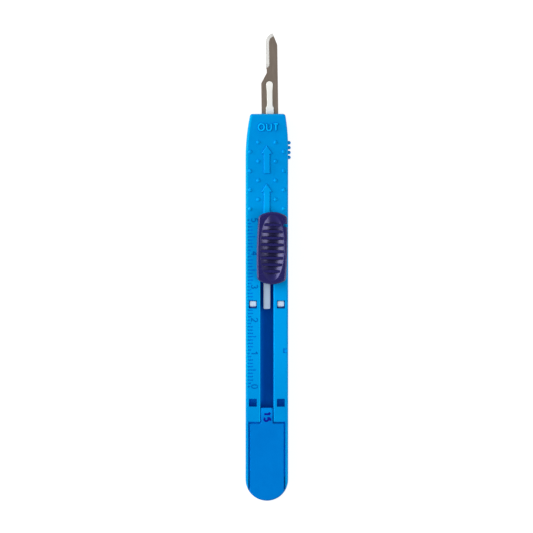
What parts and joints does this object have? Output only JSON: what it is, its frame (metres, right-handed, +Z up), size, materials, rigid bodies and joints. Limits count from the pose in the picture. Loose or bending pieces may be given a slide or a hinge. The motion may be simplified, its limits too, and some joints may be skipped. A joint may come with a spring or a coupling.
{
  "type": "disposable scalpel",
  "caption": "Retractable disposable scalpel: slotted plastic handle with a ribbed thumb slider that pushes the blade out and draws it back in.",
  "frame": {"origin": "middle of the handle's flat underside", "axes": "+Y along the handle towards the blade's tip, +X towards the blade's blunt side, +Z up out of the deck with the thumb slider"},
  "size_m": [0.0136, 0.1405, 0.0104],
  "materials": {
    "blue_plastic": "bright blue moulded plastic with a fine satin texture",
    "deep_blue_plastic": "deeper blue moulded plastic, satin",
    "white_plastic": "natural white moulded plastic, satin",
    "purple_plastic": "very dark violet blue moulded plastic, semi-gloss",
    "blade_steel": "hardened stainless strip with a dull rolled face and bright ground edge"
  },
  "bodies": {
    "handle": {"handle_body": "blue_plastic", "end_plug": "deep_blue_plastic"},
    "carriage": {"blade_carrier": "white_plastic", "thumb_slider": "purple_plastic", "blade": "blade_steel"}
  },
  "joints": [
    {"name": "blade_slide", "type": "slide", "parent": "handle", "child": "carriage", "axis": [0, 1, 0], "range_m": [-0.0295, 0]}
  ]
}
